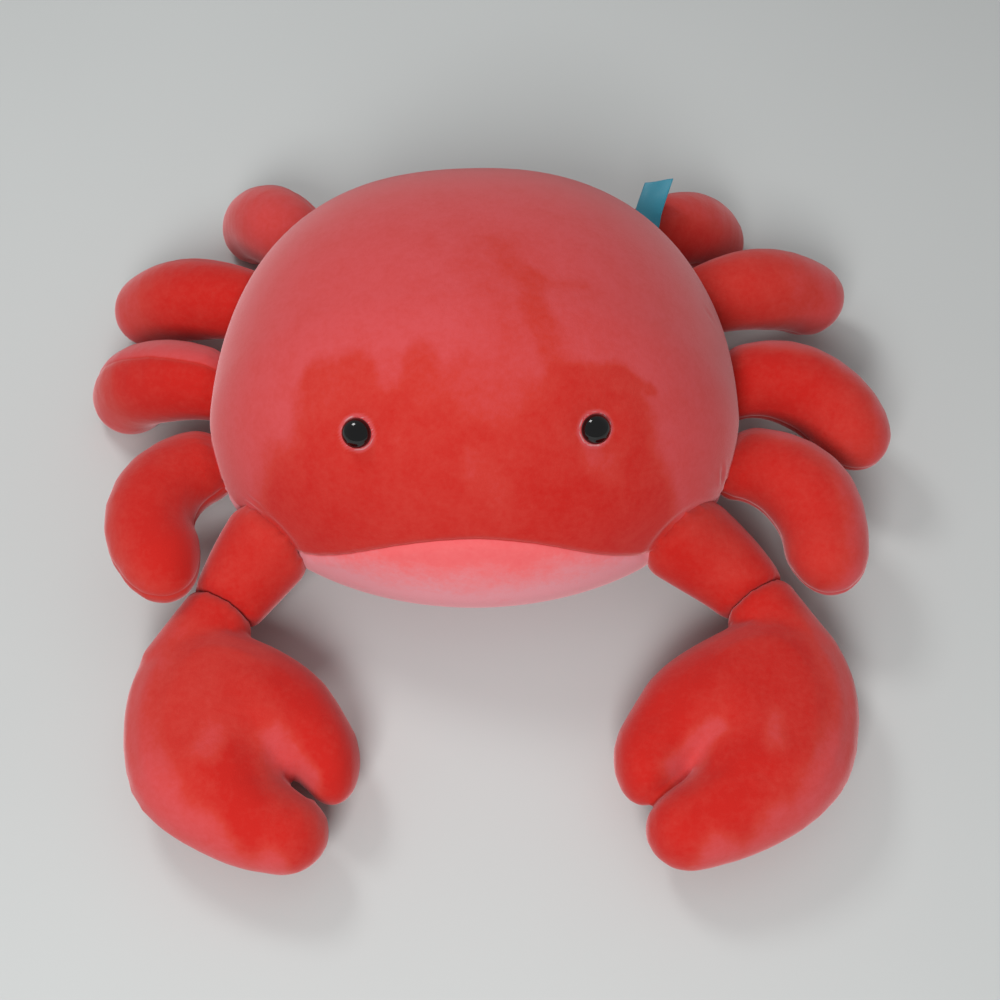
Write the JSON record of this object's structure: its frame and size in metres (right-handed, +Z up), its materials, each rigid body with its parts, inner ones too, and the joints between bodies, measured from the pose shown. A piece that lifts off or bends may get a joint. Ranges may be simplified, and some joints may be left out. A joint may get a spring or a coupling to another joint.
{
  "type": "plush crab",
  "caption": "Stuffed plush crab lying on its belly, with a domed velvet body, curled stuffed legs, two padded claws, safety eyes and a folded ribbon label.",
  "frame": {"origin": "middle of the flat spot that the belly rests on", "axes": "+Z up out of the belly, the crab faces -Y, +X to the viewer's right when looking at its face"},
  "size_m": [0.4528, 0.4404, 0.176],
  "materials": {
    "red_velvet": "short-pile polyester velvet",
    "pink_velvet": "short-pile polyester velvet",
    "eye_plastic": "polished",
    "washer_nylon": "matte moulded nylon",
    "label_satin": "woven satin ribbon"
  },
  "bodies": {
    "root": {"body_top": "red_velvet", "belly": "pink_velvet", "leg_left_1": "red_velvet", "leg_left_2": "red_velvet", "leg_left_3": "red_velvet", "leg_left_4": "red_velvet", "leg_right_1": "red_velvet", "leg_right_2": "red_velvet", "leg_right_3": "red_velvet", "leg_right_4": "red_velvet", "arm_left": "red_velvet", "arm_right": "red_velvet", "claw_left": "red_velvet", "claw_right": "red_velvet", "eye_left": "eye_plastic", "eye_right": "eye_plastic", "eye_washer_left": "washer_nylon", "eye_washer_right": "washer_nylon", "label": "label_satin"}
  },
  "joints": []
}
